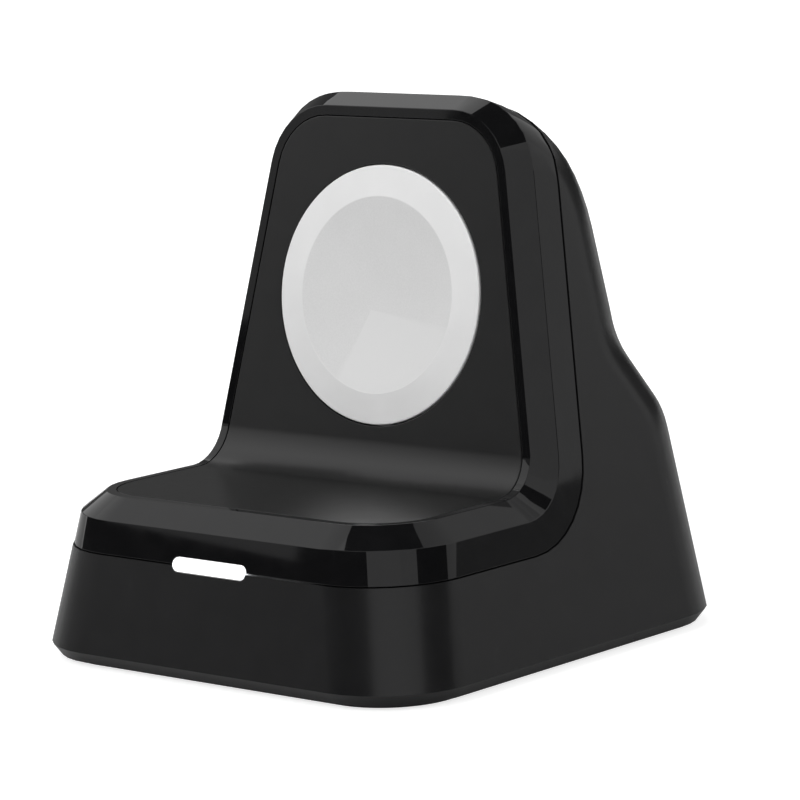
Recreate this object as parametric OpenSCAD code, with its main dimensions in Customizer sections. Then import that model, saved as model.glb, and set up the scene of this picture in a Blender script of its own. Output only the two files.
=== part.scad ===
// Smartwatch charging dock: a drafted lower housing with a leaning upright, an L-shaped front bezel
// with an inlaid pad, a round charging puck in the upright and a status light in the front seam.
// Origin: centre of the footprint, on the table. +X right, +Y to the rear, +Z up. Millimetres.

/* [Body] */
// Width at the widest edge, just above the table
base_w = 55.1; // [54:0.1:60]
// Depth at the widest edge
base_d = 57.8; // [56.6:0.2:62]
// Height of the widest edge above the table
skirt_h = 1.75; // [1.2:0.05:2]
// How far the chamfer below the widest edge runs inwards
skirt_in = 1.3; // [1:0.1:1.6]
// Draft of the side walls and the front wall, in degrees
draft = 10.5; // [9:0.25:11]
// Draft of the rear walls, in degrees
rear_draft = 4; // [2:0.5:6]
// Radius of the vertical corners
corner_r = 10; // [8:0.5:11]
// Thickness of the moulded walls
wall = 2.2; // [1.8:0.1:2.4]

/* [Upright] */
// Height of the platform in front of the upright
plat_z = 17.95; // [17:0.05:20]
// How far the upright's face leans back, in degrees
lean = 8; // [5:0.5:10]
// Distance of the puck's centre behind the widest front edge
puck_back = 30.5; // [29:0.1:32]
// Height of the puck's centre above the table
puck_z = 37.35; // [36.5:0.05:40]
// Distance from the puck's centre up to the top of the upright
rise = 22; // [21:0.1:24]
// Radius of the upright's two top corners
top_r = 9.5; // [7:0.5:10]
// Radius of the rounding from the upright's top down its back
back_r = 16.8; // [14:0.2:17]
// Depth of the upright at the puck's height
upright_t = 19.4; // [18.5:0.1:21]
// Height of the shoulder behind the upright
shoulder_z = 23.25; // [22:0.25:24]
// Height of the waist, where the upright's back meets the shoulder's slope
waist_z = 31.45; // [30.5:0.05:32.5]
// Radius of the shoulder's rounding
shoulder_r = 6.5; // [4:0.5:8]
// Radius of the waist's hollow
waist_r = 8; // [5:0.5:9]

/* [Bezel] */
// Height of the bezel's wall at the platform, down to the seam
band_p = 5.6; // [5.2:0.1:6]
// Depth of the bezel's wall behind the upright's face, back to the seam
band_u = 6.4; // [6:0.1:7]
// Drop of the chamfer round the platform
chamfer_z = 2.1; // [1.6:0.1:2.4]
// Inset of the chamfer round the platform
chamfer_p = 2.4; // [2:0.1:2.8]
// Depth of the chamfer round the upright
chamfer_d = 2.6; // [2:0.1:3]
// Inset of the chamfer round the upright
chamfer_u = 1.8; // [1.4:0.1:2.2]
// Width of the flat rim round the pad
rim = 1.05; // [0.8:0.05:1.4]
// Radius of the hollow between platform and upright
cove_r = 4.7; // [3.5:0.1:6]
// Thickness of the plate that carries the pad
plate_t = 1.6; // [1.3:0.1:2]
// Step of the bezel inside the housing's outline
reveal = 0.12; // [0.05:0.01:0.2]
// Gap of the seam between bezel and housing
seam_gap = 0.12; // [0.08:0.01:0.2]

/* [Pad] */
// Thickness of the inlaid pad
pad_t = 1; // [0.8:0.1:1.3]
// Gap between the pad and what it lies in
pad_gap = 0.08; // [0.04:0.01:0.12]

/* [Puck] */
// Radius of the charging puck
puck_r = 14; // [13.6:0.1:14.2]
// Radius of the dish in its face
dish_r = 10.6; // [9.5:0.1:11]
// How far the bevelled ring stands out at the dish's edge
puck_proud = 0.5; // [0.3:0.05:0.8]
// How far the puck's outer edge stands out
edge_proud = 0.15; // [0.1:0.05:0.25]
// Depth of the dish at its centre
dish_d = 0.9; // [0.6:0.05:1.1]
// Depth of the puck behind the face
puck_d = 8; // [7.6:0.1:8.6]
// Wall of the puck's cover and cup
puck_wall = 1; // [0.8:0.05:1.1]
// Running gap round the puck and between its inner pieces
fit = 0.15; // [0.1:0.01:0.2]
// Outer radius of the charging coil
coil_r = 11.4; // [10.5:0.1:11.6]
// Inner radius of the charging coil
coil_in = 5.4; // [5:0.1:6.5]
// Thickness of the charging coil
coil_t = 1.1; // [0.8:0.1:1.3]
// Thickness of the ferrite shield
ferrite_t = 0.8; // [0.6:0.1:0.9]
// Radius of the centre magnet
magnet_r = 4.2; // [3.5:0.1:4.6]
// Thickness of the puck's circuit board
puck_board_t = 0.8; // [0.6:0.1:1]
// Thickness of the retainer behind the puck
retainer_t = 1.5; // [1.2:0.1:1.8]

/* [Base] */
// Thickness of the base cover
cover_t = 2.2; // [1.9:0.1:2.5]
// Clearance of the base cover and the housing's rim above the table
foot_gap = 0.45; // [0.25:0.05:0.5]
// Thickness of the rubber foot
foot_t = 0.8; // [0.7:0.05:1]
// Inset of the rubber foot's thick part from the base cover's edge
foot_in = 1.2; // [0.8:0.1:2]
// Inset of the rubber foot's edge from the housing's lower edge
foot_edge = 0.7; // [0.4:0.05:0.9]
// Thickness of the steel ballast plate
ballast_t = 2.5; // [2:0.1:2.8]
// Distance of the main board's side edges inside the widest edge
board_side = 12.1; // [11.6:0.1:13]
// Distance of the main board's front edge behind the widest front edge
board_front = 10.6; // [10:0.2:12]
// Thickness of the main board
board_t = 1.2; // [1:0.1:1.6]
// Height of the posts that carry the main board
post_h = 3.6; // [3.3:0.1:4]
// Width of the port's mouth
port_w = 8.94; // [8.8:0.02:9.2]
// Height of the port's mouth
port_h = 3.26; // [3.1:0.02:3.4]
// Depth of the port's shell
port_l = 7.35; // [6.8:0.05:7.8]

/* [Light] */
// Width of the light window
light_w = 10.3; // [9:0.1:12]
// Height of the light window
light_h = 1.45; // [1.2:0.05:1.8]

/* [Screws] */
// Radius of the long case screws' shanks
case_screw_r = 1.25; // [1.1:0.05:1.4]
// Radius of the small screws' shanks
small_screw_r = 0.85; // [0.75:0.05:0.95]
// Radial gap round a screw in its bore
screw_gap = 0.1; // [0.05:0.01:0.15]

/* [Hidden] */

puck_y = puck_back - base_d / 2;
seam_z = plat_z - band_p;
arc_n = 8;
back_n = 12;
round_fn = 64;
small_fn = 32;

// Half width of the body and y of its front, rear and upright-back walls, at height z
function wall_x(z) = base_w / 2 - (z - skirt_h) * tan(draft);
function wall_f(z) = -base_d / 2 + (z - skirt_h) * tan(draft);
function wall_r(z) = base_d / 2 - (z - skirt_h) * tan(rear_draft);
function wall_u(z) = puck_y + upright_t - (z - puck_z) * tan(rear_draft);

// y and z of a point s up the face from the puck's centre and d behind the face
function face_pt(s, d) = [
    puck_y + s * sin(lean) + d * cos(lean),
    puck_z + s * cos(lean) - d * sin(lean)
];
// y of the plane d behind the face, at height z
function face_y(z, d) = puck_y + (d + (z - puck_z) * sin(lean)) / cos(lean);

function unit(v) = v / norm(v);
// Arc of radius r that rounds the corner b of the path a, b, c
function corner_arc(a, b, c, r, n) =
    let (u = unit(a - b), v = unit(c - b))
    let (half = acos(u * v) / 2)
    let (mid = b + unit(u + v) * r / sin(half), start = b + u * r / tan(half))
    [for (i = [0 : n])
        let (t = i * (180 - 2 * half) / n)
        mid + (start - mid) * cos(t) - u * r * sin(t)];

// How far a rounded top edge of radius r runs in from a wall of draft a, h above the arc's centre
function round_in(h, r, a) = h <= r * sin(a) ? 0 : r / cos(a) - h * tan(a) - sqrt(max(0, r * r - h * h));

// One level of the body, inset by o: a rounded outline in a plane that slopes up to the front by tilt.
// yr and zr are the rear wall's point, and e is how far a rounded top edge has run in.
function level(yr, zr, tilt, o, e) =
    let (t = tan(tilt), td = tan(draft))
    let (yf = (-base_d / 2 + (zr + yr * t - skirt_h) * td) / (1 + t * td))
    let (rr = max(corner_r - e, o + 0.6))
    [for (side = [0, 1], i = [0 : arc_n])
        let (q = (i - arc_n * (1 - side)) * 90 / arc_n)
        let (r = side == 0 ? corner_r : rr)
        let (y = (side == 0 ? yf + r : yr - r) + (r - o) * sin(q))
        let (z = zr + (yr - y) * t)
        [wall_x(z) - e - r + (r - o) * cos(q), y, z]];

// Right half of the outline where the L-shaped surface meets the walls. The surface lies dp below
// the platform and du behind the face, with a hollow of radius r, and is inset by ip and iu.
function ell_half(dp, du, r, ip, iu) =
    let (zp = plat_z - dp, oz = zp + r, oy = face_y(oz, du - r))
    let (a = atan(tan(draft) * cos(lean)), sc = rise - top_r)
    let (xc = wall_x(face_pt(sc, du)[1]) - top_r / cos(a))
    concat(
        [for (i = [0 : arc_n])
            let (q = (i - arc_n) * 90 / arc_n)
            [wall_x(zp) - corner_r + (corner_r - ip) * cos(q), wall_f(zp) + corner_r + (corner_r - ip) * sin(q), zp]],
        [for (i = [0 : arc_n])
            let (q = -90 + i * (90 - lean) / arc_n)
            let (z = oz + r * sin(q))
            [wall_x(z) - ip + (ip - iu) * i / arc_n, oy + r * cos(q), z]],
        [for (i = [0 : arc_n])
            let (q = a + i * (90 - a) / arc_n)
            let (p = face_pt(sc + (top_r - iu) * sin(q), du))
            [xc + (top_r - iu) * cos(q), p[0], p[1]]]
    );

// Closed skin through mirrored half outlines, with its two ends closed by strips across the width
module skin(halves) {
    n = len(halves[0]);
    m = 2 * n;
    k = len(halves) - 1;
    points = [for (h = halves, j = [0 : m - 1]) j < n ? h[j] : [-h[m - 1 - j][0], h[m - 1 - j][1], h[m - 1 - j][2]]];
    ends = [for (j = [0 : n - 2])
        each [[j, j + 1, m - 2 - j, m - 1 - j], [k * m + m - 1 - j, k * m + m - 2 - j, k * m + j + 1, k * m + j]]];
    sides = [for (i = [0 : k - 1], j = [0 : m - 1])
        let (a = i * m + j, b = i * m + (j + 1) % m, c = b + m, d = a + m)
        each [[a, d, c], [a, c, b]]];
    polyhedron(points, concat(ends, sides), convexity = 6);
}

// The whole body without its L-shaped cut, inset by o, from the table up to the upright's top
module body_block(o, z0, o0) {
    a = atan(tan(draft) * cos(lean));
    b = lean + rear_draft;
    foot = [wall_r(skirt_h), skirt_h];
    shoulder = [wall_r(shoulder_z), shoulder_z];
    waist = [wall_u(waist_z), waist_z];
    crown = [wall_u(puck_z), puck_z];
    back = concat(
        [foot],
        corner_arc(foot, shoulder, waist, shoulder_r, arc_n / 2),
        corner_arc(shoulder, waist, crown, waist_r, arc_n / 2)
    );
    top = rise - o;
    r = top_r - o;
    br = back_r - o;
    s0 = (waist_z + waist_r * 0.7 - puck_z) / cos(lean);
    ups = concat([s0], [for (i = [0 : back_n]) top - br + br * sin(b + i * (90 - b) / back_n)]);
    skin(concat(
        [level(wall_r(z0), z0, 0, o0, 0)],
        [for (p = back) level(p[0], p[1], 0, o, 0)],
        [for (s = ups)
            let (d = rear_depth(s) - round_in(s - top + br, br, b), p = face_pt(s, d))
            level(p[0], p[1], lean, o, round_in(s - top + r, r, a))]
    ));
}
// Depth of the upright's back behind the face, s up from the puck's centre
function rear_depth(s) =
    let (b = lean + rear_draft)
    upright_t * cos(rear_draft) / cos(b) - s * tan(b);

// Everything in front of the L-shaped surface dp below the platform and du behind the face
module front_space(dp, du, r) {
    half = ell_half(dp, du, r, 0, 0);
    path = [for (i = [arc_n + 1 : 2 * arc_n + 1]) [half[i][1], half[i][2]]];
    top = face_pt(2 * rise, du);
    rotate([90, 0, 90])
        linear_extrude(base_w * 2, center = true)
            polygon(concat([[-base_d, 2 * puck_z], [-base_d, plat_z - dp]], path, [top]));
}

// Plan outline of the body at height z, inset by o
module plan(z, o) {
    x = wall_x(z) - o;
    yf = wall_f(z) + o;
    yr = wall_r(z) - o;
    r = corner_r - o;
    translate([-x + r, yf]) square([2 * (x - r), yr - yf]);
    translate([-x, yf + r]) square([2 * x, yr - yf - 2 * r]);
    for (sx = [-1, 1], y = [yf + r, yr - r])
        translate([sx * (x - r), y]) circle(r = r, $fn = round_fn);
}

// Places that several pieces share
plate_back = pad_t + plate_t;
ceiling_z = plat_z - plate_back;
cover_top = foot_gap + cover_t;
board_z = cover_top + post_h;
board_top = board_z + board_t;
port_skin = wall * 0.4;
port_z = board_top + port_h / 2;
nose_y = wall_r(port_z + port_h) - port_skin - fit;
board_y1 = nose_y - 1.2;
board_y0 = board_front - base_d / 2;
board_l = board_y1 - board_y0;
board_w = base_w - 2 * board_side;
boss_r = 3.1;
tower_top = 8.9;
case_front = [base_w / 2 - 8, -base_d / 2 + 11.5];
case_rear = [base_w / 2 - 8, base_d / 2 - 8.8];
case_head_r = 2.3;
case_head_h = 1.2;
foot_floor = foot_t + 0.05;
case_seat = foot_floor + case_head_h + 0.05;
ear_r = 2;
ear_ring = puck_r + ear_r + 1.5;
ear_turn = 33;
rear_boss_h = shoulder_z * 0.45;
cup_front = plate_back + 0.1;
cup_wall_r = puck_r - puck_wall;
lead_r = 1.5;
lead_at = 8;
post_x = board_w / 2 - 2.3;
post_r = 1.9;
post_y = [board_y0 + 3, board_y1 - 9.5];
socket_at = [8, 11];
socket_size = [7.4, 4.6, 4.5];

module on_face() translate([0, puck_y, puck_z]) rotate([90 - lean, 0, 0]) children();
module at_ears() for (x = [-1, 1], y = [-1, 1]) translate([x * ear_ring * cos(ear_turn), y * ear_ring * sin(ear_turn), 0]) children();
module at_case_front() for (x = [-1, 1]) translate([x * case_front[0], case_front[1], 0]) children();
module at_case_rear() for (x = [-1, 1]) translate([x * case_rear[0], case_rear[1], 0]) children();
module at_posts() for (x = [-1, 1], y = post_y) translate([x * post_x, y, 0]) children();

// Bar with round ends, w wide and h high, running along Y from y0 to y1
module pill(w, h, y0, y1, fn) {
    translate([0, y1, 0]) rotate([90, 0, 0]) linear_extrude(y1 - y0) {
        for (x = [-1, 1]) translate([x * (w - h) / 2, 0]) circle(r = h / 2, $fn = fn);
        square([w - h, h], center = true);
    }
}
// Cup-shaped ring between two radii
module ring(r1, r0, h) difference() {
    cylinder(r = r1, h = h, $fn = round_fn);
    translate([0, 0, -1]) cylinder(r = r0, h = h + 2, $fn = round_fn);
}

module rear_housing() color([0.13, 0.13, 0.14]) {
    difference() {
        union() {
            difference() {
                body_block(0, foot_gap, skirt_in);
                body_block(wall, -1, wall);
                front_space(band_p + seam_gap, band_u + seam_gap, cove_r + band_p + seam_gap);
            }
            at_case_front() translate([0, 0, cover_top + 1]) cylinder(r = boss_r, h = tower_top - cover_top - 1, $fn = small_fn);
            for (x = [-1, 1]) mirror([x < 0 ? 1 : 0, 0, 0])
                translate([case_front[0], case_front[1] - wall / 2, cover_top + 1])
                    cube([wall_x(tower_top) - wall / 4 - case_front[0], wall, tower_top - cover_top - 1]);
            at_case_rear() translate([0, 0, cover_top + 1]) cylinder(r = boss_r, h = rear_boss_h, $fn = small_fn);
            for (x = [-1, 1]) mirror([x < 0 ? 1 : 0, 0, 0])
                translate([case_rear[0], case_rear[1], cover_top + 1]) rotate([0, 0, 27])
                    translate([0, -wall / 2, 0]) cube([boss_r * 1.5, wall, rear_boss_h]);
        }
        at_case_front() translate([0, 0, -1]) cylinder(r = case_screw_r + 2 * screw_gap, h = tower_top + 2, $fn = small_fn);
        at_case_rear() cylinder(r = case_screw_r + screw_gap, h = cover_top + rear_boss_h - 0.6, $fn = small_fn);
        translate([0, 0, port_z]) pill(port_w + 2 * fit, port_h + 2 * fit, nose_y, base_d, small_fn);
        translate([-port_w / 2 - 1, nose_y - 4, port_z - port_h / 2 - 0.8])
            cube([port_w + 2, 4 + fit, port_h + 1.6]);
        translate([0, 0, seam_z]) pill(light_w + seam_gap, light_h + seam_gap, -base_d, -base_d / 4, small_fn);
    }
}

module front_bezel() color([0.04, 0.04, 0.045]) {
    ip = chamfer_p + rim;
    iu = chamfer_u + rim;
    // The outer rings stand 0.3 outside the walls and are cut back to them
    dp = chamfer_z * (1 + 0.3 / (chamfer_p - reveal));
    du = chamfer_d * (1 + 0.3 / (chamfer_u - reveal));
    difference() {
        union() {
            intersection() {
                body_block(reveal, 0, reveal);
                skin([
                    ell_half(plate_back, plate_back, cove_r + plate_back, wall, wall),
                    ell_half(band_p, band_u, cove_r + band_p, wall, wall),
                    ell_half(band_p, band_u, cove_r + band_p, reveal - 0.3, reveal - 0.3),
                    ell_half(dp, du, cove_r + dp, reveal - 0.3, reveal - 0.3),
                    ell_half(0, 0, cove_r, chamfer_p, chamfer_u),
                    ell_half(0, 0, cove_r, ip, iu),
                    ell_half(pad_t, pad_t, cove_r + pad_t, ip, iu)
                ]);
            }
            at_case_front() translate([0, 0, tower_top + 0.1])
                cylinder(r = boss_r, h = ceiling_z - tower_top + 0.4, $fn = small_fn);
            on_face() at_ears() translate([0, 0, -puck_d - 0.1])
                cylinder(r = ear_r, h = puck_d + 0.1 - plate_back + 0.5, $fn = small_fn);
        }
        on_face() translate([0, 0, -plate_back - 2]) cylinder(r = puck_r + fit, h = plate_back + 6, $fn = round_fn);
        on_face() at_ears() translate([0, 0, -puck_d - 1])
            cylinder(r = small_screw_r + screw_gap, h = puck_d - plate_back + 1, $fn = small_fn);
        at_case_front() translate([0, 0, tower_top - 1])
            cylinder(r = case_screw_r + screw_gap, h = ceiling_z - tower_top + 1, $fn = small_fn);
        translate([0, 0, seam_z]) pill(light_w + seam_gap, light_h + seam_gap, -base_d, -base_d / 4, small_fn);
    }
}

module pad() color([0.18, 0.18, 0.19]) {
    ip = chamfer_p + rim + pad_gap;
    iu = chamfer_u + rim + pad_gap;
    d = pad_t - pad_gap / 2;
    difference() {
        skin([
            ell_half(d, d, cove_r + d, ip, iu),
            ell_half(0, 0, cove_r, ip, iu)
        ]);
        on_face() translate([0, 0, -2 * pad_t]) cylinder(r = puck_r + fit, h = 3 * pad_t, $fn = round_fn);
    }
}

module puck_cover() color([0.92, 0.92, 0.93]) on_face() {
    low = puck_proud - dish_d;
    dish_R = (dish_r * dish_r + dish_d * dish_d) / (2 * dish_d);
    spigot = cup_wall_r - fit;
    rotate_extrude($fn = round_fn) polygon(concat(
        [[0, low - puck_wall], [0, low]],
        [for (i = [1 : 6]) let (x = dish_r * i / 6) [x, low + dish_R - sqrt(dish_R * dish_R - x * x)]],
        [[puck_r, edge_proud], [puck_r, -cup_front + fit], [spigot, -cup_front + fit]],
        [[spigot, -cup_front - 1.4], [spigot - puck_wall, -cup_front - 1.4], [spigot - puck_wall, low - puck_wall]]
    ));
}

module puck_cup() color([0.62, 0.63, 0.65]) on_face() difference() {
    union() {
        translate([0, 0, -puck_d]) cylinder(r = puck_r, h = puck_d - cup_front, $fn = round_fn);
        translate([0, 0, -cup_front - 0.8]) cylinder(r = puck_r + 1.2, h = 0.8, $fn = round_fn);
    }
    translate([0, 0, -puck_d + puck_wall]) cylinder(r = cup_wall_r, h = puck_d, $fn = round_fn);
    translate([0, -lead_at, -puck_d - 1]) cylinder(r = lead_r + fit, h = 3, $fn = small_fn);
}

coil_z = puck_proud - dish_d - puck_wall - fit / 2;
ferrite_z = coil_z - coil_t - fit / 2;
puck_board_z = ferrite_z - ferrite_t - 0.4;

module charging_coil() color([0.72, 0.42, 0.2]) on_face()
    translate([0, 0, coil_z - coil_t]) ring(coil_r, coil_in, coil_t);

module ferrite_shield() color([0.2, 0.2, 0.2]) on_face()
    translate([0, 0, ferrite_z - ferrite_t]) ring(coil_r + 0.3, magnet_r + fit, ferrite_t);

module centre_magnet() color([0.75, 0.75, 0.76]) on_face()
    translate([0, 0, -puck_d + puck_wall + fit / 2])
        cylinder(r = magnet_r, h = puck_d - puck_wall - fit / 2 + coil_z, $fn = round_fn);

module puck_board() color([0.05, 0.3, 0.15]) on_face()
    translate([0, 0, puck_board_z - puck_board_t]) ring(coil_r + 0.3, magnet_r + fit, puck_board_t);

module puck_retainer() color([0.25, 0.25, 0.26]) on_face()
    translate([0, 0, -puck_d - 0.2 - retainer_t]) linear_extrude(retainer_t) difference() {
        union() {
            circle(r = puck_r - 2, $fn = round_fn);
            at_ears() circle(r = ear_r, $fn = small_fn);
            for (a = [ear_turn, -ear_turn]) rotate(a) square([2 * ear_ring, 1.6 * ear_r], center = true);
        }
        at_ears() circle(r = small_screw_r + 2 * screw_gap, $fn = small_fn);
        translate([0, -lead_at]) circle(r = lead_r + 2 * fit, $fn = small_fn);
    }

// Pan-head screw with its head below z = 0 and its shank going up
module screw(head_r, head_h, shank_r, shank_l) {
    cylinder(r = shank_r, h = shank_l, $fn = small_fn);
    difference() {
        translate([0, 0, -head_h]) cylinder(r = head_r, h = head_h, $fn = small_fn);
        translate([0, 0, -head_h - 1]) linear_extrude(1 + head_h * 0.5) {
            square([head_r * 1.1, head_r * 0.28], center = true);
            square([head_r * 0.28, head_r * 1.1], center = true);
        }
    }
}

module retainer_screws() color([0.7, 0.7, 0.72]) on_face() at_ears()
    translate([0, 0, -puck_d - 0.25 - retainer_t])
        screw(2 * small_screw_r, 1.3 * small_screw_r, small_screw_r, retainer_t + (puck_d - plate_back) * 0.75);

// The lead from the puck's board down the upright to the main board. The first points follow the
// puck; the last ones follow the plug.
lead_start = [0, -lead_at, puck_board_z - puck_board_t - fit];
function face_to_body(p) = [
    p[0],
    puck_y + p[1] * sin(lean) - p[2] * cos(lean),
    puck_z + p[1] * cos(lean) + p[2] * sin(lean)
];
plug_top = board_top + socket_size[2] + 5;
lead_route = [
    face_to_body(lead_start),
    face_to_body([0, -lead_at, -puck_d]),
    face_to_body([0, -lead_at - 0.2, -puck_d - 3]),
    face_to_body([0, -lead_at - 2, -puck_d - 5]),
    [0.6, 12.6, 22.5],
    [3, 12.4, 20],
    [6.2, 11.6, 18],
    [7.6, 11.1, 15.8],
    [socket_at[0], socket_at[1], plug_top + 0.8],
    [socket_at[0], socket_at[1], plug_top]
];
function smooth_at(p, i, t) =
    let (n = len(p) - 1, a = p[max(i - 1, 0)], b = p[i], c = p[min(i + 1, n)], d = p[min(i + 2, n)])
    0.5 * ((2 * b) + (c - a) * t + (2 * a - 5 * b + 4 * c - d) * t * t + (3 * b - a - 3 * c + d) * t * t * t);
module tube(path, r, sides) {
    n = len(path);
    dirs = [for (i = [0 : n - 1]) unit(path[min(i + 1, n - 1)] - path[max(i - 1, 0)])];
    points = [for (i = [0 : n - 1], j = [0 : sides - 1])
        let (u = unit(cross(dirs[i], [1, 0.02, 0])), v = cross(dirs[i], u), q = j * 360 / sides)
        path[i] + r * (u * cos(q) + v * sin(q))];
    walls = [for (i = [0 : n - 2], j = [0 : sides - 1])
        let (a = i * sides + j, b = i * sides + (j + 1) % sides)
        each [[a, b + sides, b], [a, a + sides, b + sides]]];
    ends = [[for (j = [0 : sides - 1]) j], [for (j = [sides - 1 : -1 : 0]) (n - 1) * sides + j]];
    polyhedron(points, concat(walls, ends), convexity = 4);
}
module puck_lead() color([0.85, 0.85, 0.85])
    tube(concat([for (i = [0 : len(lead_route) - 2], t = [0, 0.5]) smooth_at(lead_route, i, t)],
        [lead_route[len(lead_route) - 1]]), lead_r, 10);

module lead_socket() color([0.9, 0.88, 0.8])
    translate([socket_at[0], socket_at[1], board_top]) difference() {
        translate([-socket_size[0] / 2, -socket_size[1] / 2, 0]) cube(socket_size);
        translate([-socket_size[0] / 2 + 0.8, -socket_size[1] / 2 + 0.8, 1])
            cube([socket_size[0] - 1.6, socket_size[1] - 1.6, socket_size[2]]);
    }
module lead_plug() color([0.95, 0.95, 0.95])
    translate([socket_at[0], socket_at[1], board_top]) {
        translate([-socket_size[0] / 2 + 0.95, -socket_size[1] / 2 + 0.95, 1.1])
            cube([socket_size[0] - 1.9, socket_size[1] - 1.9, socket_size[2] + 2.4]);
        translate([0, 0, socket_size[2] + 3]) cylinder(r = lead_r, h = 2 - fit, $fn = small_fn);
    }

module main_board() color([0.03, 0.32, 0.17]) difference() {
    translate([-board_w / 2, board_y0, board_z]) cube([board_w, board_l, board_t]);
    at_posts() translate([0, 0, board_z - 1]) cylinder(r = small_screw_r + 2 * screw_gap, h = board_t + 2, $fn = small_fn);
}
module on_board(x, y, w, l, h) translate([x - w / 2, y - l / 2, board_top]) cube([w, l, h]);

module controller_chip() color([0.1, 0.1, 0.1])
    on_board(0, board_y0 + board_l * 0.5, board_w * 0.2, board_w * 0.2, board_t * 0.75);
module power_inductor() color([0.3, 0.3, 0.32])
    on_board(-board_w * 0.26, board_y0 + board_l * 0.62, board_w * 0.21, board_w * 0.21, board_t * 2.5);
module capacitors() color([0.75, 0.62, 0.45])
    for (i = [0 : 3])
        on_board(board_w * (0.19 * i - 0.29), board_y0 + board_l * 0.3, board_w * 0.05, board_w * 0.1, board_t * 1.2);

module port_shell() color([0.75, 0.76, 0.78]) translate([0, 0, port_z]) difference() {
    pill(port_w, port_h, nose_y - port_l, nose_y, small_fn);
    pill(port_w - 0.6, port_h - 0.6, nose_y - port_l + 0.3, nose_y + 1, small_fn);
}
module port_tongue() color([0.1, 0.1, 0.1]) translate([0, nose_y - port_l, port_z]) {
    pill(port_w - 0.7, port_h - 0.7, 0.35, 1.4, small_fn);
    translate([-3.35, 1.3, -0.35]) cube([6.7, port_l - 2, 0.7]);
}

led_y = board_y0 + 2;
led_h = 0.8;
module status_led() color([0.95, 0.95, 0.85]) on_board(0, led_y, 3, 1.4, led_h);

module light_pipe() color([0.97, 0.97, 0.97]) {
    y1 = led_y + 1.2;
    intersection() {
        translate([0, 0, seam_z]) pill(light_w, light_h, -base_d / 2, y1, small_fn);
        rotate([90, 0, 90]) linear_extrude(base_w, center = true) polygon([
            [wall_f(seam_z - 1), seam_z - 1], [wall_f(seam_z + 1), seam_z + 1], [y1, seam_z + 1], [y1, seam_z - 1]
        ]);
    }
    translate([-light_w / 4, led_y - 1.2, board_top + led_h + 0.3])
        cube([light_w / 2, 2.4, seam_z - board_top - led_h - 0.3]);
}

module ballast_plate() color([0.55, 0.56, 0.58])
    translate([-(post_x - post_r - 0.4), board_y0 + 1, cover_top])
        cube([2 * (post_x - post_r - 0.4), board_l * 0.73, ballast_t]);

module board_screws() color([0.7, 0.7, 0.72]) at_posts()
    translate([0, 0, board_top + 0.05]) mirror([0, 0, 1])
        screw(1.9 * small_screw_r, 1.2 * small_screw_r, small_screw_r, board_t + post_h * 0.72);

module base_cover() color([0.1, 0.1, 0.1]) difference() {
    union() {
        translate([0, 0, foot_gap]) linear_extrude(cover_t) plan(cover_top, wall + fit);
        for (x = [-1, 1], p = [case_front, case_rear])
            translate([x * p[0], p[1], cover_top - 0.2]) cylinder(r = boss_r, h = 1.1, $fn = small_fn);
        at_posts() translate([0, 0, cover_top - 0.2]) cylinder(r = post_r, h = post_h + 0.2, $fn = small_fn);
    }
    translate([0, 0, -1]) linear_extrude(1 + foot_floor) plan(cover_top, wall + fit + foot_in - 0.1);
    for (x = [-1, 1], p = [case_front, case_rear]) translate([x * p[0], p[1], 0]) {
        cylinder(r = case_screw_r + 2 * screw_gap, h = 2 * cover_top, $fn = small_fn);
        cylinder(r = case_head_r + 2 * screw_gap, h = case_seat, $fn = small_fn);
    }
    at_posts() translate([0, 0, cover_top - 0.3]) cylinder(r = small_screw_r + screw_gap, h = post_h + 1, $fn = small_fn);
}

module case_screws() color([0.5, 0.5, 0.52]) {
    at_case_front() translate([0, 0, case_seat - 0.05]) screw(case_head_r, case_head_h, case_screw_r, ceiling_z - case_seat - 1);
    at_case_rear() translate([0, 0, case_seat - 0.05]) screw(case_head_r, case_head_h, case_screw_r, rear_boss_h - 1);
}

module rubber_foot() color([0.16, 0.16, 0.16]) {
    linear_extrude(foot_t) plan(cover_top, wall + fit + foot_in);
    linear_extrude(foot_gap - 0.05) plan(cover_top, skirt_in + foot_edge);
}

rear_housing();
front_bezel();
pad();
puck_cover();
puck_cup();
charging_coil();
ferrite_shield();
centre_magnet();
puck_board();
puck_retainer();
retainer_screws();
puck_lead();
lead_plug();
lead_socket();
main_board();
controller_chip();
power_inductor();
capacitors();
port_shell();
port_tongue();
status_led();
light_pipe();
ballast_plate();
board_screws();
base_cover();
case_screws();
rubber_foot();
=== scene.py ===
import bpy
import math
from mathutils import Matrix, Vector


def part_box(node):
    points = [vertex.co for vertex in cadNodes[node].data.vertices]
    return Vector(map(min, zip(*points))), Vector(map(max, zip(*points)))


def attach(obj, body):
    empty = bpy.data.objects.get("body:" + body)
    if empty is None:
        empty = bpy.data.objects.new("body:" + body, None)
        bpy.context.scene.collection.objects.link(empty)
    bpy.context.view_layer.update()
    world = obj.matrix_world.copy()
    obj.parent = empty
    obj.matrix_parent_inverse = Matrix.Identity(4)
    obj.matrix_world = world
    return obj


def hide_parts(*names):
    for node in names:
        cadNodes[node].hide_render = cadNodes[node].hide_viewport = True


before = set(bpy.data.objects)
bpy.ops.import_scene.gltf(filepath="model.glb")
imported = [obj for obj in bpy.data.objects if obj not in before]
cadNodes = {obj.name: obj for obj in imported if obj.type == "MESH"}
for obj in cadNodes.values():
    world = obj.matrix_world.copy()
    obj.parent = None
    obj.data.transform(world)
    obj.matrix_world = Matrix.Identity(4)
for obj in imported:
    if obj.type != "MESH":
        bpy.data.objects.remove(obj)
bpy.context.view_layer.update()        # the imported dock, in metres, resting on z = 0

mm = 0.001
print("frame loaded,", len(cadNodes), "nodes")


# Selecting and shaping

def deselectAll():
    if bpy.context.mode != "OBJECT":
        bpy.ops.object.mode_set(mode="OBJECT")
    bpy.ops.object.select_all(action="DESELECT")


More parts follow.
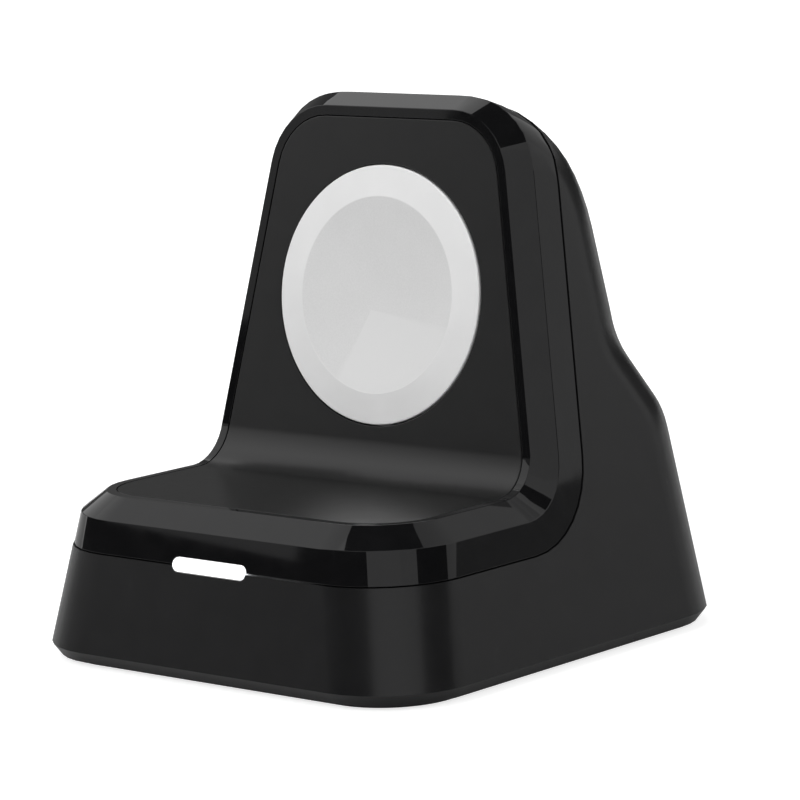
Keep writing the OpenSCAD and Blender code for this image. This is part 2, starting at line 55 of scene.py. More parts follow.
def pick(piece):
    deselectAll()
    piece.select_set(True)
    bpy.context.view_layer.objects.active = piece


def editAll(piece):
    pick(piece)
    bpy.ops.object.mode_set(mode="EDIT")
    bpy.ops.mesh.select_all(action="SELECT")


def applyPlace(piece):
    pick(piece)
    bpy.ops.object.transform_apply(location=True, rotation=True, scale=True)


def applyModifiers(piece):
    pick(piece)
    for modifier in list(piece.modifiers):
        bpy.ops.object.modifier_apply(modifier=modifier.name)


def smoothBelow(piece, degrees):
    pick(piece)
    bpy.ops.object.shade_smooth_by_angle(angle=math.radians(degrees))


def softenEdges(piece, width, segments=2, degrees=24):
    # small moulded radius on every real edge, with flat faces kept flat in the shading
    bevel = piece.modifiers.new("edgeRadius", "BEVEL")
    bevel.width = width
    bevel.segments = segments
    bevel.limit_method = "ANGLE"
    bevel.angle_limit = math.radians(degrees)
    bevel.harden_normals = False
    applyModifiers(piece)
    smoothBelow(piece, 30)
    weighted = piece.modifiers.new("flatFaces", "WEIGHTED_NORMAL")
    weighted.keep_sharp = True
    weighted.weight = 80
    applyModifiers(piece)


def mouldedFrom(node, name):
    # the node's shell as one welded mesh, ready for its edge radii
    piece = bpy.data.objects.new(name, cadNodes[node].data.copy())
    bpy.context.scene.collection.objects.link(piece)
    pick(piece)
    bpy.ops.mesh.customdata_custom_splitnormals_clear()
    editAll(piece)
    bpy.ops.mesh.remove_doubles(threshold=0.002 * mm)
    bpy.ops.mesh.dissolve_limited(angle_limit=math.radians(0.15))
    bpy.ops.object.mode_set(mode="OBJECT")
    return piece


def turned(name, profile, sides):
    # a turned piece: a ring that is extruded and resized along its profile (radius, height)
    deselectAll()
    radius, height = profile[0]
    bpy.ops.mesh.primitive_circle_add(vertices=sides, radius=radius, location=(0, 0, height))
    piece = bpy.context.object
    piece.name = name
    applyPlace(piece)
    editAll(piece)
    for nextRadius, nextHeight in profile[1:]:
        bpy.ops.mesh.extrude_region_move(TRANSFORM_OT_translate={"value": (0, 0, nextHeight - height)})
        if nextRadius < 1e-6:
            bpy.ops.mesh.merge(type="CENTER")
            break
        ratio = nextRadius / radius
        bpy.ops.transform.resize(value=(ratio, ratio, 1), center_override=(0, 0, nextHeight))
        radius, height = nextRadius, nextHeight
    bpy.ops.mesh.select_all(action="SELECT")
    bpy.ops.mesh.remove_doubles(threshold=0.001 * mm)
    bpy.ops.mesh.normals_make_consistent(inside=False)
    bpy.ops.object.mode_set(mode="OBJECT")
    return piece


def dress(piece, material, slotName, *nodes):
    piece.data.materials.clear()
    piece.data.materials.append(material)
    for face in piece.data.polygons:
        face.material_index = 0
    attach(piece, "root")
    if nodes:
        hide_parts(*nodes)


# Shader maths

class Socket:
    # wraps an output, so that an expression on it adds its Math nodes
    def __init__(self, tree, output):
        self.tree = tree
        self.output = output

    def maths(self, operation, *items):
        node = self.tree.nodes.new("ShaderNodeMath")
        node.operation = operation
        for place, item in enumerate(items):
            if isinstance(item, Socket):
                self.tree.links.new(item.output, node.inputs[place])
            else:
                node.inputs[place].default_value = item
        return Socket(self.tree, node.outputs[0])

    def __add__(self, other):
        return self.maths("ADD", self, other)

    def __sub__(self, other):
        return self.maths("SUBTRACT", self, other)

    def __mul__(self, other):
        return self.maths("MULTIPLY", self, other)

    def __truediv__(self, other):
        return self.maths("DIVIDE", self, other)

    def __radd__(self, other):
        return self.maths("ADD", other, self)

    def __rsub__(self, other):
        return self.maths("SUBTRACT", other, self)

    def __rmul__(self, other):
        return self.maths("MULTIPLY", other, self)

    def __gt__(self, other):
        return self.maths("GREATER_THAN", self, other)

    def __lt__(self, other):
        return self.maths("LESS_THAN", self, other)

    def call(self, operation, *others):
        return self.maths(operation, self, *others)


class Finish:
    # a material with its Principled shader, and one method for any other node
    def __init__(self, name, tree=None):
        if tree is None:
            self.material = bpy.data.materials.new(name)
            self.material.use_nodes = True
            tree = self.material.node_tree
            self.shader = tree.nodes["Principled BSDF"]
        self.tree = tree

    def node(self, kind, settings=None, inputs=None, output=0):
        made = self.tree.nodes.new("ShaderNode" + kind)
        for key, value in (settings or {}).items():
            if key == "stops":
                ramp = made.color_ramp.elements
                while len(ramp) < len(value):
                    ramp.new(0.5)
                for element, (place, colour) in zip(ramp, value):
                    element.position = place
                    element.color = (*colour, 1)
            else:
                setattr(made, key, value)
        for key, value in (inputs or {}).items():
            if isinstance(value, Socket):
                self.tree.links.new(value.output, made.inputs[key])
            else:
                made.inputs[key].default_value = value
        return Socket(self.tree, made.outputs[output])

    def feed(self, **sockets):
        # constants and links on the Principled shader's own sockets
        for key, value in sockets.items():
            place = self.shader.inputs[key.replace("_", " ")]
            if isinstance(value, Socket):
                self.tree.links.new(value.output, place)
            else:
                place.default_value = (*value, 1) if isinstance(value, tuple) and len(value) == 3 else value

    def objectPlace(self, centre=(0, 0, 0), turn=(0, 0, 0), scale=(1, 1, 1)):
        # Object coordinates in a piece's own frame: centred first, then turned
        place = self.node("TexCoord", output=3)
        if centre != (0, 0, 0):
            place = self.node("VectorMath", {"operation": "SUBTRACT"}, {0: place, 1: centre})
        return self.node("Mapping", None, {"Vector": place, "Rotation": turn, "Scale": scale})

    def axes(self, place):
        split = self.node("SeparateXYZ", None, {"Vector": place})
        return [Socket(self.tree, output) for output in split.output.node.outputs]

    def noise(self, place, scale, detail=2.0, roughness=0.5):
        return self.node("TexNoise", None, {"Vector": place, "Scale": scale, "Detail": detail, "Roughness": roughness})

    def blendColour(self, factor, first, second):
        made = self.tree.nodes.new("ShaderNodeMix")
        made.data_type = "RGBA"
        for key, value in (("Factor_Float", factor), ("A_Color", first), ("B_Color", second)):
            place = next(s for s in made.inputs if s.identifier == key)
            if isinstance(value, Socket):
                self.tree.links.new(value.output, place)
            else:
                place.default_value = (*value, 1) if isinstance(value, tuple) else value
        return Socket(self.tree, next(s for s in made.outputs if s.identifier == "Result_Color"))

    def bump(self, height, strength, distance, normal=None):
        inputs = {"Height": height, "Strength": strength, "Distance": distance}
        if normal is not None:
            inputs["Normal"] = normal
        return self.node("Bump", None, inputs)


def span(value, low, high):
    # 0 below low, 1 above high, a ramp between
    return ((value - low) * (1 / (high - low))).call("MAXIMUM", 0.0).call("MINIMUM", 1.0)


# Finishes

shellLook = {"dark": (0.0050, 0.0050, 0.0053), "light": (0.0066, 0.0066, 0.0070), "roughness": 0.26, "specular": 0.50,
             "mottle": 320, "grain": 5200, "grainDepth": 0.0022 * mm}
bezelLook = {"colour": (0.0040, 0.0040, 0.0044), "haze": (0.0058, 0.0058, 0.0062), "roughness": 0.03,
             "wave": 150, "waveDepth": 0.0025 * mm, "dust": 2600}
padLook = {"dark": (0.0024, 0.0024, 0.0026), "light": (0.0036, 0.0036, 0.0038), "roughness": 0.30, "specular": 0.66,
           "mottle": 420, "grain": 6800, "grainDepth": 0.0035 * mm}
footLook = {"dark": (0.012, 0.012, 0.0125), "light": (0.020, 0.020, 0.0205), "roughness": 0.72, "specular": 0.4,
            "mottle": 500, "grain": 4200, "grainDepth": 0.006 * mm}


def mouldedPlastic(name, look):
    finish = Finish(name)
    place = finish.objectPlace()
    mottle = finish.noise(place, look["mottle"], 4, 0.6)
    grain = finish.noise(place, look["grain"], 3, 0.65)
    tone = span(mottle * 0.75 + grain * 0.25, 0.32, 0.68)
    colour = finish.blendColour(tone, look["dark"], look["light"])
    roughness = look["roughness"] - 0.04 + mottle * 0.05 + grain * 0.03
    finish.feed(Base_Color=colour, Roughness=roughness, Specular_IOR_Level=look["specular"],
                Normal=finish.bump(grain, 0.6, look["grainDepth"]))
    return finish.material


def pianoPlastic(name, look):
    # high gloss: a very slight moulded wave, a few specks of dust and a thin haze
    finish = Finish(name)
    place = finish.objectPlace()
    wave = finish.noise(place, look["wave"], 1, 0.4)
    haze = finish.noise(place, look["wave"] * 2.4, 5, 0.6)
    speck = finish.node("TexVoronoi", {"feature": "F1"}, {"Vector": place, "Scale": look["dust"], "Randomness": 1.0})
    dust = (speck < 0.07) * (finish.noise(place, 260, 2, 0.5) > 0.63)
    colour = finish.blendColour(span(haze, 0.4, 0.75), look["colour"], look["haze"])
    finish.feed(Base_Color=finish.blendColour(dust * 0.25, colour, (0.05, 0.05, 0.05)),
                Roughness=look["roughness"] + span(haze, 0.45, 0.8) * 0.02 + dust * 0.2,
                Normal=finish.bump(wave, 0.5, look["waveDepth"]),
                IOR=1.5)
    return finish.material


def metal(name, colour, dark, roughness, grainScale=(1, 1, 1), grain=900, depth=0.002 * mm):
    finish = Finish(name)
    place = finish.objectPlace(scale=grainScale)
    lines = finish.noise(place, grain, 3, 0.6)
    stain = finish.noise(finish.objectPlace(), 220, 4, 0.6)
    finish.feed(Base_Color=finish.blendColour(span(stain, 0.35, 0.75), colour, dark),
                Roughness=roughness - 0.05 + lines * 0.1 + span(stain, 0.5, 0.8) * 0.08,
                Normal=finish.bump(lines, 0.5, depth), Metallic=1.0)
    return finish.material


shellPlastic = mouldedPlastic("satinShellPlastic", shellLook)
bezelPlastic = pianoPlastic("glossBezelPlastic", bezelLook)
padRubber = mouldedPlastic("softTouchPad", padLook)
footRubber = mouldedPlastic("footRubber", footLook)
coverPlastic = mouldedPlastic("coverPlastic", dict(shellLook, roughness=0.46, grain=4200, grainDepth=0.004 * mm))

faceCentre = (0, 1.6 * mm, 37.35 * mm)  # the puck's centre in the upright's leaning face
faceTurn = (-math.radians(82), 0, 0)    # undoes the face's tilt, so that z runs out of the face


def puckFinish(look):
    # fine frost in the dish, a smoother bevelled ring round it, and a painted reflection: a lighter sector in the dish
    finish = Finish("puckPlastic")
    place = finish.objectPlace(faceCentre, faceTurn)
    across, along, out = finish.axes(place)
    radius = (across * across + along * along).call("SQRT")
    ring = span(radius, look["dishRadius"] - 0.05 * mm, look["dishRadius"] + 0.05 * mm)
    frost = finish.noise(place, look["frost"], 3, 0.7)
    cloud = finish.noise(place, 160, 2, 0.5)
    dishTone = finish.blendColour(span(frost * 0.7 + cloud * 0.3, 0.3, 0.7), look["dishDark"], look["dishLight"])
    # painted reflection: a lighter sector of the dish between two angles round a point near its centre
    reflectionX, reflectionY = across - look["paintedReflectionApex"][0], along - look["paintedReflectionApex"][1]
    angle = reflectionY.call("ARCTAN2", reflectionX)
    paintedReflection = span(angle, *look["paintedReflectionFrom"]) * (1 - span(angle, *look["paintedReflectionTo"]))
    dishTone = finish.blendColour(paintedReflection * 0.8, dishTone, look["paintedReflectionTone"])
    ringTone = finish.blendColour(span(cloud, 0.35, 0.65), look["ringDark"], look["ringLight"])
    finish.feed(Base_Color=finish.blendColour(ring, dishTone, ringTone),
                Roughness=look["dishRough"] + ring * (look["ringRough"] - look["dishRough"]) + frost * 0.05,
                Normal=finish.bump(frost, 0.35, look["frostDepth"]))
    return finish.material


puckLook = {"dishRadius": 10.6 * mm, "frost": 5200, "frostDepth": 0.004 * mm,
            "dishDark": (0.69, 0.69, 0.69), "dishLight": (0.76, 0.76, 0.76),
            "ringDark": (0.80, 0.80, 0.80), "ringLight": (0.83, 0.83, 0.83),
            # these keys place and colour a painted reflection: a lighter sector in the dish
            "paintedReflectionApex": (-1.3 * mm, -1.7 * mm), "paintedReflectionFrom": (-2.07, -1.97), "paintedReflectionTo": (-0.17, -0.07), "paintedReflectionTone": (0.775, 0.775, 0.775),
            "dishRough": 0.55, "ringRough": 0.34}
puckPlastic = puckFinish(puckLook)


def litWindow(name, look):
    # milky window that glows, a little less at its ends
    finish = Finish(name)
    place = finish.objectPlace()
    across, deep, up = finish.axes(place)
    ends = span(across.call("ABSOLUTE"), look["halfWidth"] * 0.80, look["halfWidth"])
    milk = finish.noise(place, 900, 2, 0.5)
    glow = finish.blendColour(ends, (1.0, 1.0, 1.0), (0.93, 0.95, 0.98))
    finish.feed(Base_Color=finish.blendColour(span(milk, 0.4, 0.6), (0.80, 0.80, 0.80), (0.86, 0.86, 0.86)),
                Emission_Color=glow, Emission_Strength=look["strength"], Roughness=0.35 + milk * 0.08)
    return finish.material


lightLook = {"halfWidth": 5.15 * mm, "strength": 1.1}
windowPlastic = litWindow("milkyWindow", lightLook)
print("outer finishes made")


# Outer pieces

edgeRadii = {"rearHousing": 0.14, "frontBezel": 0.11, "padInlay": 0.14, "bottomCover": 0.2, "rubberFoot": 0.18}

rearHousing = mouldedFrom("rear_housing", "rearHousing")
softenEdges(rearHousing, edgeRadii["rearHousing"] * mm)
dress(rearHousing, shellPlastic, "rear_housing", "rear_housing")

frontBezel = mouldedFrom("front_bezel", "frontBezel")
softenEdges(frontBezel, edgeRadii["frontBezel"] * mm)
dress(frontBezel, bezelPlastic, "front_bezel", "front_bezel")

padInlay = mouldedFrom("pad", "padInlay")
softenEdges(padInlay, edgeRadii["padInlay"] * mm)
dress(padInlay, padRubber, "pad", "pad")
print("shells made")


def puckProfile(look):
    # outside of the cover from the spigot, over the bevelled ring, down the dish, and back up inside
    low = look["proud"] - look["dishDepth"]
    bowl = (look["dishRadius"] ** 2 + look["dishDepth"] ** 2) / (2 * look["dishDepth"])
    spigot, front, wall = 12.85, -2.7, 1.0
    outline = [(spigot - wall, low - wall), (spigot - wall, front - 1.4), (spigot, front - 1.4), (spigot, front + 0.15),
               (look["radius"], front + 0.15), (look["radius"], look["edge"] - 0.12),
               (look["radius"] - 0.04, look["edge"] - 0.035), (look["radius"] - 0.14, look["edge"] + 0.01)]
    rise = (look["proud"] - look["edge"]) / (look["radius"] - look["dishRadius"])
    outline.append((look["dishRadius"] + 0.07, look["proud"] - 0.07 * rise))
    outline.append((look["dishRadius"] - 0.03, look["proud"] - 0.02))
    steps = 14
    for step in range(steps - 1, 0, -1):
        radius = look["dishRadius"] * step / steps
        outline.append((radius, low + bowl - math.sqrt(bowl ** 2 - radius ** 2)))
    outline.append((0.0, low))
    return [(radius * mm, height * mm) for radius, height in outline]


puckShape = {"radius": 14.0, "dishRadius": 10.6, "proud": 0.5, "edge": 0.15, "dishDepth": 0.9, "sides": 160}
puckFace = turned("puckFace", puckProfile(puckShape), puckShape["sides"])
puckFace.rotation_euler = (math.radians(82), 0, 0)
puckFace.location = faceCentre
applyPlace(puckFace)
smoothBelow(puckFace, 12)
dress(puckFace, puckPlastic, "puck_cover", "puck_cover")

lightWindow = mouldedFrom("light_pipe", "lightWindow")
softenEdges(lightWindow, 0.1 * mm)
dress(lightWindow, windowPlastic, "light_pipe", "light_pipe")

bottomCover = mouldedFrom("base_cover", "bottomCover")
softenEdges(bottomCover, edgeRadii["bottomCover"] * mm)
dress(bottomCover, coverPlastic, "base_cover", "base_cover")

rubberFoot = mouldedFrom("rubber_foot", "rubberFoot")
softenEdges(rubberFoot, edgeRadii["rubberFoot"] * mm)
dress(rubberFoot, footRubber, "rubber_foot", "rubber_foot")
print("puck, window and underside made")


# Inner pieces: the CAD meshes stay and get their own finishes

def middleOf(node):
    # middle and half size of a node's box
    low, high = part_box(node)
    return tuple((a + b) / 2 for a, b in zip(low, high)), tuple((b - a) / 2 for a, b in zip(low, high))


def finishNodes(material, *nodes):
    for node in nodes:
        for place in cadNodes[node].material_slots:
            place.material = material


def stripes(value, pitch, share):
    # 1 on a share of each pitch
    return ((value * (1 / pitch)).call("FRACT") - 0.5).call("ABSOLUTE") < share / 2


def turnedMetal(name, colour, dark, roughness):
    # lines round the puck's axis, as a lathe leaves them
    finish = Finish(name)
    across, along, out = finish.axes(finish.objectPlace(faceCentre, faceTurn))
    radius = (across * across + along * along).call("SQRT")
    lines = finish.noise(finish.node("CombineXYZ", None, {"X": radius, "Z": out}), 4200, 3, 0.6)
    stain = finish.noise(finish.objectPlace(), 240, 4, 0.6)
    finish.feed(Base_Color=finish.blendColour(span(stain, 0.35, 0.75), colour, dark), Metallic=1.0,
                Roughness=roughness - 0.04 + lines * 0.09, Normal=finish.bump(lines, 0.5, 0.003 * mm))
    return finish.material


def windings(look):
    # enamelled copper wire laid in rings, with painted shade between the turns
    finish = Finish("copperWindings")
    across, along, out = finish.axes(finish.objectPlace(faceCentre, faceTurn))
    radius = (across * across + along * along).call("SQRT")
    turn = (radius * (1 / look["wire"])).call("FRACT") * 2 - 1
    crown = (1 - turn * turn).call("MAXIMUM", 0.0).call("SQRT")
    tone = finish.noise(finish.objectPlace(), 900, 3, 0.6)
    copper = finish.blendColour(span(tone, 0.3, 0.7), look["copper"], look["bright"])
    # the grooves between the turns get a dark copper colour: painted shade
    finish.feed(Base_Color=finish.blendColour(span(crown, 0.15, 0.55), look["gap"], copper), Metallic=0.9,
                Roughness=0.42 - crown * 0.12, Normal=finish.bump(crown, 0.9, look["wire"] * 0.4), Coat_Weight=0.4)
    return finish.material


def circuitBoard(name, look, centre, turn, halfThick):
    # solder mask over copper tracks that run one way or the other by cells, gilded vias, fibre at the cut edge
    finish = Finish(name)
    place = finish.objectPlace(centre, turn)
    across, along, up = finish.axes(place)
    cells = finish.node("TexVoronoi", {"distance": "CHEBYCHEV"}, {"Vector": place, "Scale": look["cells"]}, output=1)
    way = finish.axes(cells)[0] > 0.5
    tracks = way * stripes(across, look["pitch"], 0.4) + (1 - way) * stripes(along, look["pitch"], 0.4)
    spots = finish.node("TexVoronoi", None, {"Vector": place, "Scale": look["vias"], "Randomness": 0.7})
    vias = (spots < 0.16) * (finish.noise(place, 200, 2, 0.5) > 0.52)
    cut = up.call("ABSOLUTE") < halfThick * 0.92
    weave = finish.noise(place, 2600, 2, 0.5)
    mask = finish.blendColour(tracks, look["mask"], look["track"])
    faces = finish.blendColour(vias, mask, look["gold"])
    edge = finish.blendColour(span(weave, 0.35, 0.65), look["fibre"], look["resin"])
    finish.feed(Base_Color=finish.blendColour(cut, faces, edge), Metallic=vias * (1 - cut),
                Roughness=0.32 + weave * 0.06 + cut * 0.35, Normal=finish.bump(tracks + vias, 0.6, 0.02 * mm))
    return finish.material


def chipPackage(name, node, look):
    # black moulding with a corner dimple and tinned pads along the foot of its sides
    finish = Finish(name)
    centre, half = middleOf(node)
    across, along, up = finish.axes(finish.objectPlace(centre))
    atX = across.call("ABSOLUTE") > half[0] * 0.985
    atY = along.call("ABSOLUTE") > half[1] * 0.985
    pads = (up < -half[2] * 0.35) * (atX * stripes(along, look["pitch"], 0.5) + atY * stripes(across, look["pitch"], 0.5))
    aside, back = across + half[0] * 0.68, along - half[1] * 0.68
    dimple = (aside * aside + back * back).call("SQRT") < look["dimple"]
    grain = finish.noise(finish.objectPlace(), 5200, 3, 0.6)
    body = finish.blendColour(span(grain, 0.3, 0.7), look["dark"], look["light"])
    finish.feed(Base_Color=finish.blendColour(pads.call("MINIMUM", 1.0), body, look["tin"]),
                Metallic=pads.call("MINIMUM", 1.0), Roughness=0.52 + grain * 0.08 - dimple * 0.2,
                Normal=finish.bump(grain * 0.3 - dimple, 0.5, 0.03 * mm))
    return finish.material


def endCapped(name, node, axis, share, body, dark, roughness):
    # ceramic or ferrite body between two tinned end caps
    finish = Finish(name)
    centre, half = middleOf(node)
    place = finish.objectPlace(centre)
    caps = finish.axes(place)[axis].call("ABSOLUTE") > half[axis] * share
    speckle = finish.noise(place, 4200, 3, 0.6)
    finish.feed(Base_Color=finish.blendColour(caps, finish.blendColour(span(speckle, 0.3, 0.7), body, dark), (0.72, 0.71, 0.69)),
                Metallic=caps, Roughness=roughness + speckle * 0.08 - caps * 0.12,
                Normal=finish.bump(speckle, 0.4, 0.01 * mm))
    return finish.material


def contactTongue(look):
    # black moulding with gilded contacts side by side
    finish = Finish("contactTongue")
    centre, half = middleOf("port_tongue")
    place = finish.objectPlace(centre)
    across, along, up = finish.axes(place)
    onTongue = (across.call("ABSOLUTE") < look["row"]) * (along > look["start"] - half[1])
    gilt = onTongue * stripes(across + look["pitch"] / 2, look["pitch"], 0.56) * (up.call("ABSOLUTE") > look["skin"])
    grain = finish.noise(place, 5000, 3, 0.6)
    finish.feed(Base_Color=finish.blendColour(gilt, finish.blendColour(grain, (0.012, 0.012, 0.012), (0.022, 0.022, 0.022)), look["gold"]),
                Metallic=gilt, Roughness=0.45 + grain * 0.06 - gilt * 0.2, Normal=finish.bump(gilt, 0.4, 0.03 * mm))
    return finish.material


def ledPackage(look):
    # white frame round a yellow lens that glows
    finish = Finish("ledPackage")
    centre, half = middleOf("status_led")
    place = finish.objectPlace(centre)
    across, along, up = finish.axes(place)
    lens = (across.call("ABSOLUTE") < half[0] * 0.72) * (along.call("ABSOLUTE") < half[1] * 0.66) * (up > half[2] * 0.9)
    grain = finish.noise(place, 3600, 2, 0.5)
    frameTone = finish.blendColour(grain, (0.74, 0.73, 0.70), (0.80, 0.79, 0.76))
    finish.feed(Base_Color=finish.blendColour(lens, frameTone, look["lens"]), Roughness=0.5 - lens * 0.25 + grain * 0.05,
                Emission_Color=finish.blendColour(lens, (0, 0, 0), look["glow"]), Emission_Strength=look["strength"])
    return finish.material


innerLook = {
    "coil": {"wire": 0.5 * mm, "copper": (0.62, 0.24, 0.10), "bright": (0.80, 0.36, 0.17), "gap": (0.05, 0.018, 0.008)},
    "board": {"cells": 190, "pitch": 0.8 * mm, "vias": 420, "mask": (0.010, 0.075, 0.036), "track": (0.020, 0.135, 0.062),
              "gold": (0.80, 0.55, 0.22), "fibre": (0.30, 0.29, 0.13), "resin": (0.22, 0.22, 0.10)},
    "chip": {"pitch": 0.65 * mm, "dimple": 0.32 * mm, "dark": (0.010, 0.010, 0.010), "light": (0.020, 0.020, 0.021), "tin": (0.70, 0.69, 0.67)},
    "tongue": {"pitch": 0.5 * mm, "row": 3.1 * mm, "start": 2.2 * mm, "skin": 0.3 * mm, "gold": (0.86, 0.62, 0.26)},
    "led": {"lens": (0.85, 0.72, 0.18), "glow": (1.0, 0.93, 0.72), "strength": 1.5},
    "retainer": {"dark": (0.030, 0.030, 0.031), "light": (0.050, 0.050, 0.051), "roughness": 0.55, "specular": 0.5,
                 "mottle": 260, "grain": 3600, "grainDepth": 0.008 * mm},
    "sleeve": {"dark": (0.62, 0.62, 0.60), "light": (0.70, 0.70, 0.68), "roughness": 0.48, "specular": 0.5,
               "mottle": 300, "grain": 3000, "grainDepth": 0.006 * mm},
    "plug": {"dark": (0.72, 0.72, 0.70), "light": (0.79, 0.79, 0.77), "roughness": 0.42, "specular": 0.5,
             "mottle": 400, "grain": 4200, "grainDepth": 0.003 * mm},
    "socket": {"dark": (0.66, 0.62, 0.50), "light": (0.73, 0.69, 0.57), "roughness": 0.46, "specular": 0.5,
               "mottle": 400, "grain": 4200, "grainDepth": 0.003 * mm},
    "ferrite": {"dark": (0.030, 0.029, 0.028), "light": (0.065, 0.063, 0.061), "roughness": 0.58, "specular": 0.5,
                "mottle": 700, "grain": 5200, "grainDepth": 0.012 * mm},
}
mainMiddle, mainHalf = middleOf("main_board")
puckBoard = {"out": -4.24 * mm, "halfThick": 0.4 * mm}
puckBoardCentre = tuple(Vector(faceCentre) + Vector((0, -math.cos(math.radians(8)), math.sin(math.radians(8)))) * puckBoard["out"])

finishNodes(turnedMetal("turnedCup", (0.62, 0.62, 0.63), (0.50, 0.50, 0.51), 0.34), "puck_cup")
finishNodes(turnedMetal("platedMagnet", (0.74, 0.73, 0.70), (0.66, 0.65, 0.62), 0.20), "centre_magnet")
finishNodes(windings(innerLook["coil"]), "charging_coil")
finishNodes(mouldedPlastic("ferriteSheet", innerLook["ferrite"]), "ferrite_shield")
finishNodes(circuitBoard("mainBoard", innerLook["board"], mainMiddle, (0, 0, 0), mainHalf[2]), "main_board")
finishNodes(circuitBoard("puckBoard", innerLook["board"], puckBoardCentre, faceTurn, puckBoard["halfThick"]), "puck_board")
finishNodes(mouldedPlastic("filledNylon", innerLook["retainer"]), "puck_retainer")
finishNodes(mouldedPlastic("leadSleeve", innerLook["sleeve"]), "puck_lead")
finishNodes(mouldedPlastic("plugNylon", innerLook["plug"]), "lead_plug")
finishNodes(mouldedPlastic("socketNylon", innerLook["socket"]), "lead_socket")
finishNodes(chipPackage("chipPackage", "controller_chip", innerLook["chip"]), "controller_chip")
finishNodes(endCapped("inductorBody", "power_inductor", 0, 0.78, (0.060, 0.060, 0.062), (0.035, 0.035, 0.036), 0.55), "power_inductor")
finishNodes(endCapped("capacitorBody", "capacitors", 1, 0.62, (0.42, 0.29, 0.17), (0.34, 0.23, 0.13), 0.42), "capacitors")
finishNodes(contactTongue(innerLook["tongue"]), "port_tongue")
finishNodes(ledPackage(innerLook["led"]), "status_led")
finishNodes(metal("drawnSteel", (0.66, 0.66, 0.67), (0.55, 0.55, 0.56), 0.26, (9, 1, 9), 420), "port_shell")
finishNodes(metal("rolledSteel", (0.52, 0.52, 0.53), (0.38, 0.38, 0.40), 0.40, (1, 12, 1), 380), "ballast_plate")
finishNodes(metal("zincScrews", (0.62, 0.62, 0.60), (0.48, 0.48, 0.47), 0.33, (1, 1, 6), 900), "retainer_screws", "board_screws", "case_screws")
print("inner finishes made")


# Studio

def addFloor():
    deselectAll()
    bpy.ops.mesh.primitive_plane_add(size=24, location=(0, 0, 0))
    floor = bpy.context.object
    floor.name = "studioFloor"
    finish = Finish("studioFloor")
    tree = finish.tree
    paths = finish.node("LightPath")
    outputs = paths.output.node.outputs
    direct = (paths + Socket(tree, outputs["Is Transmission Ray"])).call("MINIMUM", 1.0)
    glossy = Socket(tree, outputs["Is Glossy Ray"])
    place = finish.objectPlace()
    distance = finish.node("VectorMath", {"operation": "LENGTH"}, {0: place}, output=1)
    # the glow fades in with distance from the dock, so the floor round it is darker: painted shade round the dock, from
    # 8 to 40 cm for the camera and out to 2.5 m in reflections
    paintedShadeFade, reflectedShadeFade = span(distance, 0.08, 0.4), span(distance, 0.5, 2.5)
    speck = finish.noise(place, 30, 3, 0.5)
    finish.feed(Base_Color=finish.blendColour(span(speck, 0.3, 0.7), (0.51, 0.51, 0.51), (0.53, 0.53, 0.53)),
                Roughness=0.8, Specular_IOR_Level=0.0)
    strength = direct * (studio["floorGlow"] + paintedShadeFade * (1 - studio["floorGlow"])) + glossy * reflectedShadeFade
    glow = finish.node("Emission", None, {"Color": (1, 1, 1, 1), "Strength": strength})
    lit = Socket(tree, finish.shader.outputs[0])
    both = finish.node("AddShader", None, {0: lit, 1: glow})
    tree.links.new(both.output, tree.nodes["Material Output"].inputs["Surface"])
    floor.data.materials.append(finish.material)


def towards(azimuth, elevation):
    # azimuth from the front (-Y) towards the right (+X)
    a, e = math.radians(azimuth), math.radians(elevation)
    return Vector((math.cos(e) * math.sin(a), -math.cos(e) * math.cos(a), math.sin(e)))


def hangLamp(name, place, direction, width, height, energy, gloss):
    lamp = bpy.data.lights.new(name, "AREA")
    lamp.shape = "RECTANGLE"
    lamp.size = width
    lamp.size_y = height
    lamp.energy = energy
    holder = bpy.data.objects.new(name, lamp)
    holder.rotation_mode = "QUATERNION"
    holder.rotation_quaternion = direction.to_track_quat("Z", "Y")
    holder.location = place
    holder.visible_glossy = gloss
    holder.visible_camera = False
    bpy.context.scene.collection.objects.link(holder)


def addPanel(name, left, right, low, high, radiance):
    # softboxes side by side between two azimuths and two elevations, as the dock sees them
    reach, step = studio["panelReach"], studio["panelStep"]
    bottom, top = (reach * math.tan(math.radians(angle)) for angle in (low, high))
    width = 2 * reach * math.tan(math.radians(step / 2))
    for start in range(left, right, step):
        direction = towards(start + step / 2, 0)
        place = direction * reach + Vector((0, 0, studio["aimHeight"] + (bottom + top) / 2))
        hangLamp("%s_%d" % (name, start), place, direction, width, top - bottom,
                 radiance * math.pi * width * (top - bottom), True)


def addFill(name, azimuth, elevation, angle, level):
    # soft lamp for the matt surfaces only; level is how bright white paper facing it turns
    direction = towards(azimuth, elevation)
    reach = studio["fillReach"]
    size = 2 * reach * math.tan(math.radians(angle / 2))
    place = direction * reach + Vector((0, 0, studio["aimHeight"]))
    hangLamp(name, place, direction, size, size, level * math.pi ** 2 * reach ** 2, False)


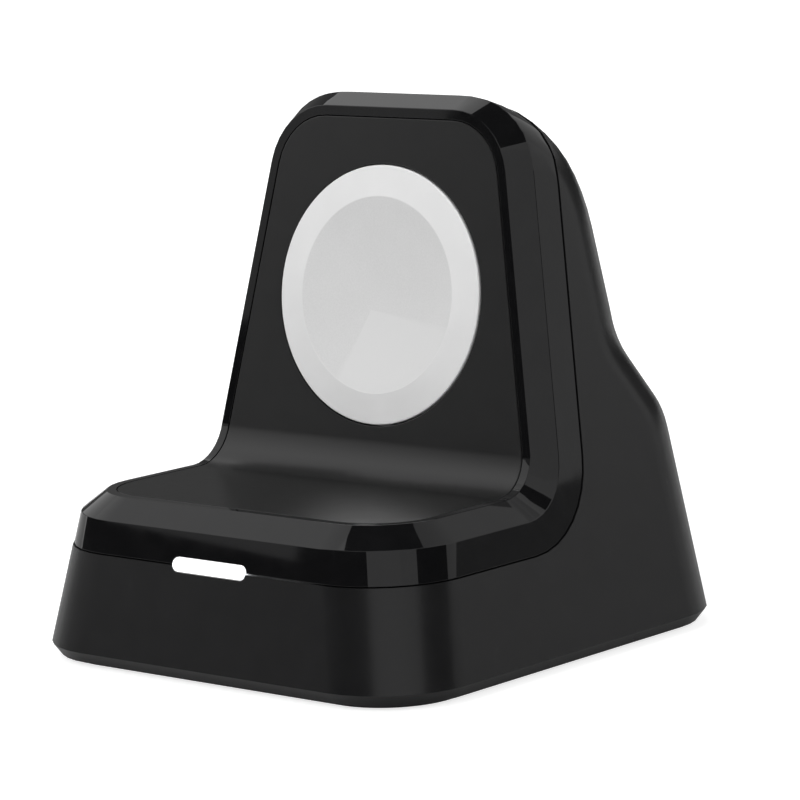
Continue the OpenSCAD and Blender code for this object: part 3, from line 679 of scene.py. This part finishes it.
studio = {
    "floorGlow": 0.76,
    "worldGlow": 0.026,
    "aimHeight": 0.03,
    "panelReach": 1.5,
    "panelStep": 20,
    "fillReach": 0.8,
    "panels": [   # name, azimuths from and to, elevations from and to, radiance
        ("leftLow", -100, -40, 4, 9, 0.37),
        ("leftMain", -80, -40, 9, 66, 0.96),
        ("leftRear", -100, -80, 9, 66, 0.76),
        ("leftBack", -120, -100, 9, 66, 0.64),
        ("leftBackHigh", -140, -120, 35, 66, 0.97),
        ("leftFrontLow", -40, -20, 9, 20, 0.17),
        ("frontHigh", -20, 20, 20, 66, 0.50),
        ("rightLow", 20, 80, -2, 9, 0.58),
        ("rightMain", 20, 60, 9, 66, 0.65),
        ("rightEnd", 60, 80, 9, 66, 0.60),
        ("rightBackHigh", 80, 120, 20, 50, 0.66),
        ("backRight", 120, 140, 8, 66, 0.72),
        ("backRightLow", 120, 140, 2.5, 8, 0.50),
        ("backRightWide", 140, 160, 2.5, 66, 0.49),
        ("back", 160, 200, 12, 66, 0.42),
        ("backLeft", 200, 240, 4, 35, 0.10),
        ("backLow", 120, 160, -2, 2.5, 0.12),
    ],
    "fills": [    # name, azimuth, elevation, angle, level
        ("fillFront", -6, 34, 40, 0.41),
        ("fillRight", 82, 30, 40, 0.23),
        ("fillTop", -60, 80, 40, 0.315),
    ],
}


def addWorld():
    # white where the camera looks past the floor, dim everywhere else
    world = bpy.data.worlds.new("studioWorld")
    bpy.context.scene.world = world
    world.use_nodes = True
    finish = Finish("studioWorld", world.node_tree)
    tree = finish.tree
    paths = finish.node("LightPath")
    through = Socket(tree, paths.output.node.outputs["Is Transmission Ray"])
    direct = (paths + through).call("MINIMUM", 1.0)
    strength = direct + (1 - direct) * studio["worldGlow"]
    tree.links.new(strength.output, tree.nodes["Background"].inputs["Strength"])
    tree.nodes["Background"].inputs["Color"].default_value = (1, 1, 1, 1)


addFloor()
addWorld()
for panel in studio["panels"]:
    addPanel(*panel)
for fill in studio["fills"]:
    addFill(*fill)
print("studio made")


# Camera

cameraView = {"place": (0.28405, -0.32452, 0.09554), "azimuth": 40.81, "elevation": 9.16, "roll": -2.16, "lens": 182.16}


def addCamera(view):
    a, e, roll = (math.radians(view[key]) for key in ("azimuth", "elevation", "roll"))
    ahead = Vector((-math.sin(a) * math.cos(e), math.cos(a) * math.cos(e), -math.sin(e)))
    right = Vector((math.cos(a), math.sin(a), 0))
    above = right.cross(ahead)
    x = right * math.cos(roll) + above * math.sin(roll)
    y = above * math.cos(roll) - right * math.sin(roll)
    camera = bpy.data.cameras.new("mainCamera")
    camera.lens = view["lens"]
    camera.sensor_width = 36
    camera.clip_start = 0.01
    holder = bpy.data.objects.new("mainCamera", camera)
    bpy.context.scene.collection.objects.link(holder)
    holder.matrix_world = Matrix.Translation(view["place"]) @ Matrix((x, y, -ahead)).transposed().to_4x4()
    bpy.context.scene.camera = holder


addCamera(cameraView)
settings = bpy.context.scene.view_settings
settings.view_transform = "Standard"
print("camera set")
